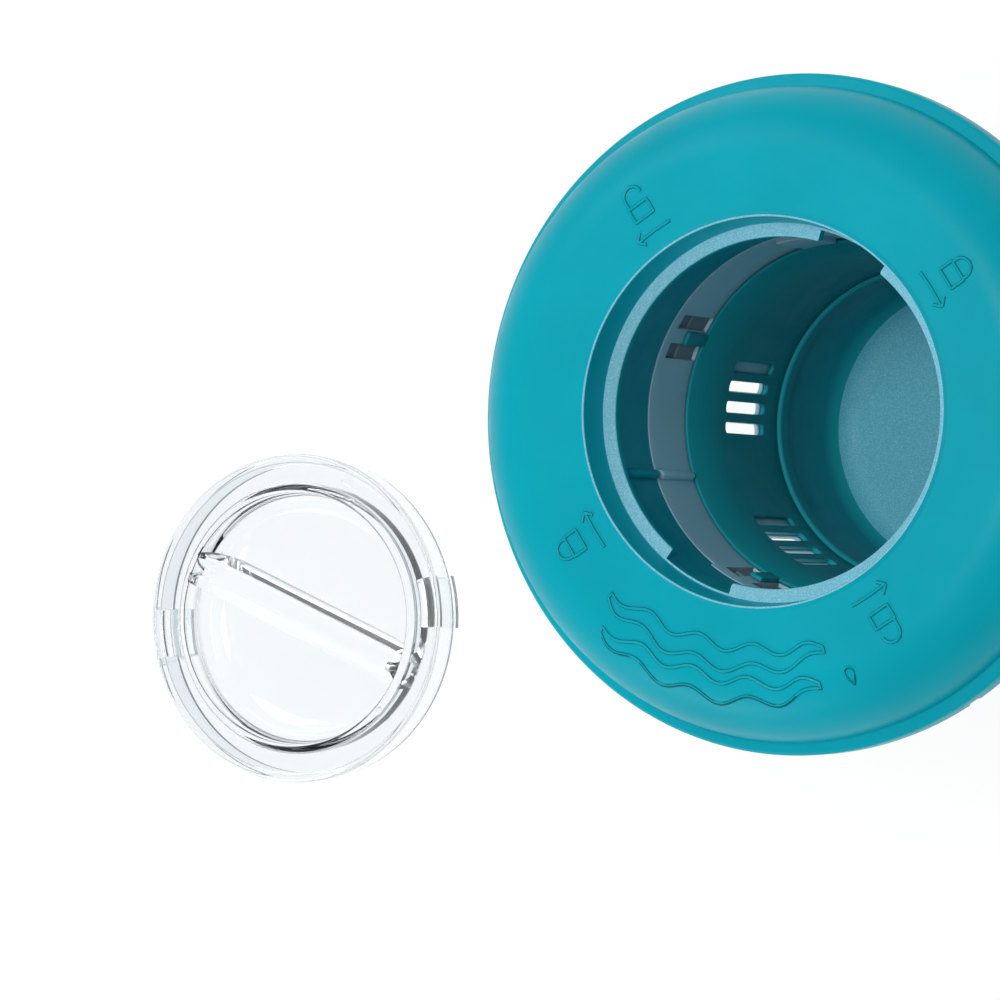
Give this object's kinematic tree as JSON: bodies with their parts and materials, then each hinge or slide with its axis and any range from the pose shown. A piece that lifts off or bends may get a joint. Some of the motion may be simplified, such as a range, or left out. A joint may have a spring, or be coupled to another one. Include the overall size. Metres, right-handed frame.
{
  "type": "floating chlorine dispenser",
  "caption": "Ring float with a bayonet mouth over a slotted tablet cage that turns inside a dosing sleeve, with its clear twist-lock lid lifted off and lying beside it.",
  "frame": {"origin": "on the float's axis, on the underside of the cup, where the dispenser stands", "axes": "+Z out of the mouth along the float's axis; -X towards the lid that lies beside it"},
  "size_m": [0.3274, 0.1784, 0.145],
  "materials": {
    "teal_plastic": "satin moulded polypropylene",
    "dark_teal_plastic": "fine moulded texture",
    "grey_blue_plastic": "satin moulded polypropylene",
    "clear_plastic": "polished clear moulding"
  },
  "bodies": {
    "float": {"float_top_shell": "teal_plastic", "float_bottom_shell": "teal_plastic", "dosing_sleeve": "grey_blue_plastic"},
    "cage": {"tablet_cage": "dark_teal_plastic", "bottom_cup": "dark_teal_plastic"},
    "lid": {"lid": "clear_plastic"}
  },
  "joints": [
    {"name": "dose_turn", "type": "hinge", "parent": "float", "child": "cage", "pos_m": [0, 0, 0.05], "axis": [0, 0, 1], "range_deg": [-21.9, 7.3]},
    {"name": "lid_lift", "type": "slide", "parent": "float", "child": "lid", "axis": [0, 0, 1], "range_m": [0, 0.2]}
  ]
}
